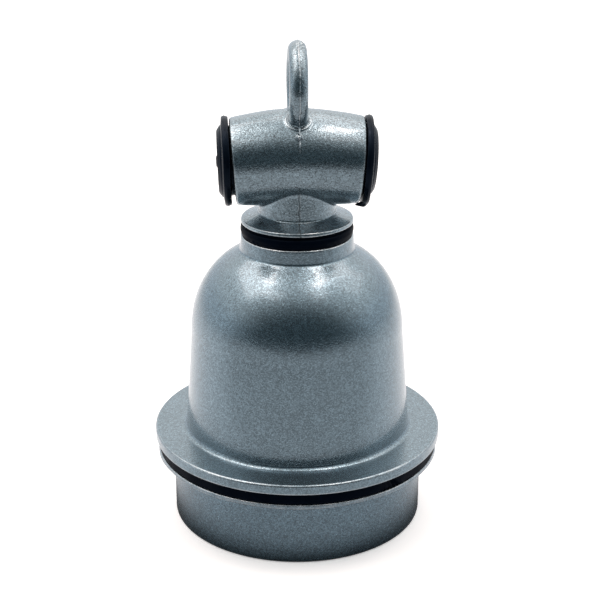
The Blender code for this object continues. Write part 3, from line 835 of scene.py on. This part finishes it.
# ----------------------------------------------------------------------------------------------
# cable plugs
# ----------------------------------------------------------------------------------------------
def build_plug(name, side, lean, mat):
    """Rubber plug with a soft flange, a raised disc and a nub. lean tips it, in degrees."""
    points = [
        (0.0, 5.3, 0),
        (1.9, 5.3, 0.4),
        (2.5, 4.55, 0.3),
        (11.2, 4.75, 0.7),
        (12.9, 3.6, 0.6),
        (13.2, 3.15, 0.4),
        (PLUG_FLANGE_R - 0.35, 2.75, 0.7),
        (PLUG_FLANGE_R, 1.7, 0.4),
        (PLUG_FLANGE_R - 0.5, 0.25, 0.5),
        (PLUG_BODY_R - 0.1, 0.25, 0.4),
        (PLUG_BODY_R - 0.45, -PLUG_DEPTH, 0.8),
        (10.0, -PLUG_DEPTH, 0.5),
        (9.6, -1.0, 0.8),
        (0.0, -1.0, 0),
    ]
    loop = finer(filleted(points, 4, closed=False), 1.2, closed=False)
    seed = 31 if side < 0 else 47

    def wobble(a, r, z):
        outer = np.clip((r - 13.5) / 2.0, 0, 1) * (z > -0.5)
        z = z + outer * 0.16 * waves(a, seed, 5, 1)
        r = r + outer * 0.10 * waves(a, seed + 1, 9, 2)
        if side > 0:
            torn = bump_at(a, math.radians(-107), 0.11)
            flap = np.clip((r - 15.4) / 0.8, 0, 1) * torn * (z > -0.5)
            z = z - 2.6 * flap * np.clip(1.9 - z, 0.25, 1.4)
            r = r + 0.95 * flap
        return r, z

    plug = turned(name, loop, 160, closed=False, wobble=wobble)
    plug.data.materials.append(mat)
    axis = Vector((side * math.cos(ARM_DROOP), 0, -math.sin(ARM_DROOP)))
    spot = Vector((side * BARREL_HALF, 0, ARM_END_Z)) * MM
    turn = axis.to_track_quat("Z", "Y").to_matrix().to_4x4()
    tip = Matrix.Rotation(math.radians(lean), 4, "Y")
    top = spot + Vector((axis.z * side, 0, abs(axis.x))) * BARREL_END_R * MM
    pivot = Matrix.Translation(top) @ tip @ Matrix.Translation(-top)
    plug.matrix_world = pivot @ Matrix.Translation(spot) @ turn
    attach(plug, "plug_left" if side < 0 else "plug_right")
    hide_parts("cable_plug_left" if side < 0 else "cable_plug_right")
    return plug


# ----------------------------------------------------------------------------------------------
# inside pieces
# ----------------------------------------------------------------------------------------------
def build_shell(mat):
    """Rolled brass screw shell with a round thread."""
    out_r, in_r, mid_r = 13.25, 12.75, 13.0
    e27_pitch = 3.629
    points = [(10.0, 69.2, 0.12), (out_r, 69.2, 0.5), (out_r, 45.2, 0.8), (14.2, 44.0, 0.2)]
    points += [(13.8, 43.75, 0.2), (in_r, 44.9, 0.8), (in_r, 68.7, 0.4), (10.0, 68.7, 0.12)]
    loop = finer(filleted(points, 3), 1.2)
    dense = densify(loop, mid_r, 47.0, 67.5, 0.32)
    thread = helix(e27_pitch, 0.55, 50.6, 66.2, 0.9, mid_r, 0.6)
    shell = turned("shell_brass", dense, 128, wobble=thread)
    shell.data.materials.append(mat)
    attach(shell, "bell")
    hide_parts("screw_shell")
    return shell


def build_porcelain(mat):
    """Glazed holder with rounded edges and a band round its waist."""
    points = [
        (0.0, 86.0, 0),
        (19.5, 86.0, 0.8),
        (21.5, 84.0, 0.8),
        (21.5, 60.0, 0.7),
        (20.2, 59.0, 0.7),
        (20.2, 42.0, 1.2),
        (15.3, 42.0, 0.9),
        (14.8, 44.5, 1.0),
        (14.8, 69.6, 0.8),
        (0.0, 69.6, 0),
    ]
    loop = finer(filleted(points, 5, closed=False), 2.0, closed=False)

    def wobble(a, r, z):
        return r + np.where(r > 17, 0.05 * np.sin(2 * a + z * 0.1), 0), z

    holder = turned("porcelain_holder", loop, 128, closed=False, wobble=wobble)
    stud_holes = [(0, -7.8, 1.8, 68.0), (0, 11.5, 1.8, 68.0)]
    screw_holes = [(-10.0, 0, 2.0, 77.5), (10.0, 0, 2.0, 77.5)]
    for i, (x, y, radius, low) in enumerate(stud_holes + screw_holes):
        cut = cylinder(f"porcelain_cut_{i}", radius, low, 88.0, (x, y), 28)
        mod = holder.modifiers.new(f"hole_{i}", "BOOLEAN")
        mod.operation = "DIFFERENCE"
        mod.solver = "EXACT"
        mod.object = cut
        apply_modifiers(holder)
        bpy.data.objects.remove(cut, do_unlink=True)
    holder.data.shade_smooth()
    holder.data.set_sharp_from_angle(angle=math.radians(38))
    holder.data.materials.clear()
    holder.data.materials.append(mat)
    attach(holder, "bell")
    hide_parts("lampholder_body")
    return holder


def cylinder(name, radius, low, high, xy, segs):
    """An upright cylinder at xy, in mm."""
    loop = [(0.0, high), (radius, high), (radius, low), (0.0, low)]
    obj = turned(name, loop, segs, closed=False)
    obj.data.transform(Matrix.Translation((xy[0] * MM, xy[1] * MM, 0)))
    return obj


def apply_modifiers(obj):
    """Puts what an object's modifiers make in place of its mesh."""
    graph = bpy.context.evaluated_depsgraph_get()
    mesh = bpy.data.meshes.new_from_object(obj.evaluated_get(graph))
    obj.modifiers.clear()
    obj.data = mesh


def build_boss(name, x, y, low, deep, mat):
    """Cast boss with a rounded end, drilled up to deep. Its top ends inside the shoulder's wall."""
    root = 105.0
    outline = [(0.0, root, 0), (5.0, root, 0), (4.5, low, 0.7)]
    outline += [(2.0, low, 0.3), (2.0, deep, 0), (0.0, deep + 1.0, 0)]
    loop = finer(filleted(outline, 4, closed=False), 1.5, closed=False)
    mid_a, mid_b = SHOULDER_A - WALL / 2, SHOULDER_B - WALL / 2

    def follow(a, r, z):
        reach = np.hypot(r * np.cos(a) + x, r * np.sin(a) + y)
        across = np.clip((reach - SHOULDER_CENTRE_R) / mid_a, -1, 1)
        top = SHOULDER_Z + mid_b * np.sqrt(1 - across * across)
        flare = 1 + 0.35 * np.clip((z - top + 5.0) / 5.0, 0, 1) ** 2 * (r > 3.0)
        return r * flare, np.minimum(z, top)

    boss = turned(name, loop, 48, closed=False, wobble=follow)
    boss.location = (x * MM, y * MM, 0)
    boss.data.materials.append(mat)
    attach(boss, "bell")
    return boss


# ----------------------------------------------------------------------------------------------
# assembly
# ----------------------------------------------------------------------------------------------
BELL_PAINT = metallic_paint(
    "bell_metallic_paint", (0.170, 0.237, 0.278),
    roughness=0.20, grain=2500.0, depth=0.00011, contrast=0.32, peel=0.05, pits=0.15,
)
HEAD_PAINT = metallic_paint(
    "head_metallic_paint", (0.198, 0.262, 0.298),
    roughness=0.205, grain=2100.0, depth=0.00014, contrast=0.37, peel=0.09, pits=0.75,
)
COLLAR_PAINT = metallic_paint(
    "collar_metallic_paint", (0.118, 0.180, 0.222),
    roughness=0.25, grain=2400.0, depth=0.00012, contrast=0.34, peel=0.06, pits=0.25,
)
RUBBER = rubber_material("black_rubber", gloss=0.26, shine=0.12)
GASKET = rubber_material("gasket_rubber", gloss=0.42, shine=0.03)
PORCELAIN = porcelain_material("glazed_porcelain")
BRASS = metal_material("brass_metal", (0.50, 0.34, 0.12), (0.86, 0.66, 0.33), 0.28, (0.30, 0.19, 0.08))
STEEL = metal_material("zinc_steel", (0.42, 0.43, 0.44), (0.74, 0.75, 0.76), 0.30, (0.46, 0.44, 0.40))

head = build_head(HEAD_PAINT)
build_bell(BELL_PAINT)
build_collar(COLLAR_PAINT)
build_flange_gasket(GASKET)
build_neck_gasket(GASKET)
build_plug("plug_left_rubber", -1, 2.6, RUBBER)
build_plug("plug_right_rubber", 1, -0.6, RUBBER)
build_shell(BRASS)
build_porcelain(PORCELAIN)
build_boss("bracket_boss_left", -BOSS_X, 0, 88.1, 96.1, BELL_PAINT)
build_boss("bracket_boss_right", BOSS_X, 0, 88.1, 96.1, BELL_PAINT)
build_boss("earth_boss", 0, EARTH_Y, 92.0, 98.0, BELL_PAINT)

for obj in list(bpy.context.scene.collection.objects):
    if obj.type == "MESH" and obj.data.materials and obj.name not in frame["nodes"]:
        mark_edges(obj)
paint_crack_shade(head)

SLOT_MATERIAL = {"brass": BRASS, "steel": STEEL, "rubber": RUBBER, "porcelain": PORCELAIN}
for part in frame["record"]["subparts"]:
    node = frame["nodes"].get(part["node"])
    if node and part["material_slot"] in SLOT_MATERIAL:
        node.data.materials.clear()
        node.data.materials.append(SLOT_MATERIAL[part["material_slot"]])

# ----------------------------------------------------------------------------------------------
# floor, light and camera
# ----------------------------------------------------------------------------------------------
def build_floor():
    """A pale floor, evenly bright to the camera. What it throws back on the object has painted shade towards
    the dim front and a painted contact shadow under the rim.
    """
    half, drop = 3.0, -0.0002
    corners = [(-half, -half, drop), (half, -half, drop), (half, half, drop), (-half, half, drop)]
    floor = mesh_object("floor", corners, [(0, 1, 2, 3)])
    n = Nodes("pale_floor")
    split = n.node("ShaderNodeSeparateXYZ")
    n.link(n.coords, split.inputs[0])
    # painted shade: the floor that the object sees gets darker towards the dim front
    depth = n.math("MULTIPLY", n.math("ADD", split.outputs[1], 1.4), 0.6)
    painted_shade_greys = [(0.0, 0.04), (0.26, 0.09), (0.45, 0.30), (0.55, 0.52), (0.69, 0.58), (0.77, 0.54)]
    painted_shade_greys += [(0.79, 0.63), (0.82, 0.76), (0.85, 0.82), (0.88, 0.80)]
    reflected_floor_with_painted_shade = n.ramp(depth, [(at, (0.95 * grey, 0.99 * grey, 1.03 * grey)) for at, grey in painted_shade_greys])
    reach = n.node("ShaderNodeVectorMath", operation="LENGTH")
    n.link(n.coords, reach.inputs[0])
    # painted contact shadow: the floor that the object sees gets darker close round its rim
    painted_contact_shadow = n.ramp(reach.outputs["Value"], [(0.050, 0.12), (0.058, 0.66), (0.066, 0.98), (0.080, 1.0)])
    reflected_floor_with_painted_shade = n.mix(1.0, reflected_floor_with_painted_shade, painted_contact_shadow, "MULTIPLY")
    seen = n.node("ShaderNodeLightPath").outputs["Is Camera Ray"]
    n.set(Base_Color=n.mix(seen, reflected_floor_with_painted_shade, (0.92, 0.92, 0.92)), Roughness=0.9, Specular_IOR_Level=0.0)
    n.set(Emission_Color=(1.0, 1.0, 1.0), Emission_Strength=n.math("MULTIPLY", seen, 0.30))
    floor.data.materials.append(n.mat)


def build_world():
    """A bright surround behind and beside the object, a brighter ceiling, and a dark room in front."""
    world = bpy.data.worlds.new("pale_world")
    bpy.context.scene.world = world
    world.use_nodes = True
    tree = world.node_tree

    def smooth_step(value, low, high):
        made = tree.nodes.new("ShaderNodeMapRange")
        made.interpolation_type = "SMOOTHSTEP"
        made.inputs["From Min"].default_value = low
        made.inputs["From Max"].default_value = high
        tree.links.new(value, made.inputs["Value"])
        return made.outputs[0]

    def blend(fac, a, b):
        made = tree.nodes.new("ShaderNodeMix")
        made.data_type = "RGBA"
        tree.links.new(fac, made.inputs[0])
        for socket, value in ((made.inputs[6], a), (made.inputs[7], b)):
            if isinstance(value, tuple):
                socket.default_value = (*value, 1.0)
            else:
                tree.links.new(value, socket)
        return made.outputs[2]

    direction = tree.nodes.new("ShaderNodeTexCoord").outputs["Generated"]
    split = tree.nodes.new("ShaderNodeSeparateXYZ")
    tree.links.new(direction, split.inputs[0])
    surround = blend(smooth_step(split.outputs[2], 0.08, 0.50), (0.80, 0.86, 0.92), (1.26, 1.24, 1.22))
    # how far a direction points away from the camera, with a little more for pointing up
    lean = tree.nodes.new("ShaderNodeMath")
    lean.operation = "MULTIPLY_ADD"
    tree.links.new(split.outputs[2], lean.inputs[0])
    lean.inputs[1].default_value = 0.27
    tree.links.new(split.outputs[1], lean.inputs[2])
    room = blend(smooth_step(lean.outputs[0], -0.74, 0.10), (0.030, 0.062, 0.076), surround)
    seen = tree.nodes.new("ShaderNodeLightPath").outputs["Is Camera Ray"]
    tree.links.new(blend(seen, room, (1.0, 1.0, 1.0)), tree.nodes["Background"].inputs["Color"])


def softbox(name, azimuth, elevation, width, height, radiance):
    """A soft warm light aimed at the object. Azimuth 0 is the camera's side and 90 is +X."""
    distance = 0.8
    data = bpy.data.lights.new(name, "AREA")
    data.shape = "RECTANGLE"
    data.size = width
    data.size_y = height
    data.energy = radiance * math.pi * width * height
    data.color = (1.0, 0.83, 0.76)
    obj = bpy.data.objects.new(name, data)
    bpy.context.scene.collection.objects.link(obj)
    turn, rise = math.radians(azimuth), math.radians(elevation)
    level = math.cos(rise)
    away = Vector((math.sin(turn) * level, -math.cos(turn) * level, math.sin(rise)))
    obj.location = Vector((0, 0, 0.10)) + away * distance
    obj.rotation_euler = away.to_track_quat("Z", "Y").to_euler()


def build_camera():
    """The photo's camera, aimed at the middle of the object. Angles are in radians."""
    reach, tilt, yaw = 0.54829, 0.370919, math.radians(2.8)
    data = bpy.data.cameras.new("camera")
    data.sensor_width = 36.0
    data.lens = data.sensor_width * 2.417633
    data.shift_x = 0.0046667
    data.clip_start = 0.01
    camera = bpy.data.objects.new("camera", data)
    bpy.context.scene.collection.objects.link(camera)
    level = math.cos(tilt)
    view = Vector((math.sin(yaw) * level, math.cos(yaw) * level, -math.sin(tilt)))
    camera.location = Vector((0, 0, 0.08513)) - view * reach
    camera.rotation_euler = view.to_track_quat("-Z", "Y").to_euler()
    bpy.context.scene.camera = camera


build_floor()
build_world()
softbox("box_left", -107, 57, 0.76, 0.42, 2.2)
softbox("box_left_high", -98, 69, 0.20, 0.13, 6.0)
softbox("box_right", 106, 47, 0.50, 0.40, 0.9)
softbox("box_top", 80, 73, 0.26, 0.13, 8.0)
softbox("box_front_left", -50, 58, 0.26, 0.20, 1.3)
softbox("box_front_right", 40, 61, 0.24, 0.20, 1.2)
softbox("box_back", 150, 60, 0.62, 0.42, 1.2)
build_camera()
bpy.context.scene.view_settings.view_transform = "Standard"
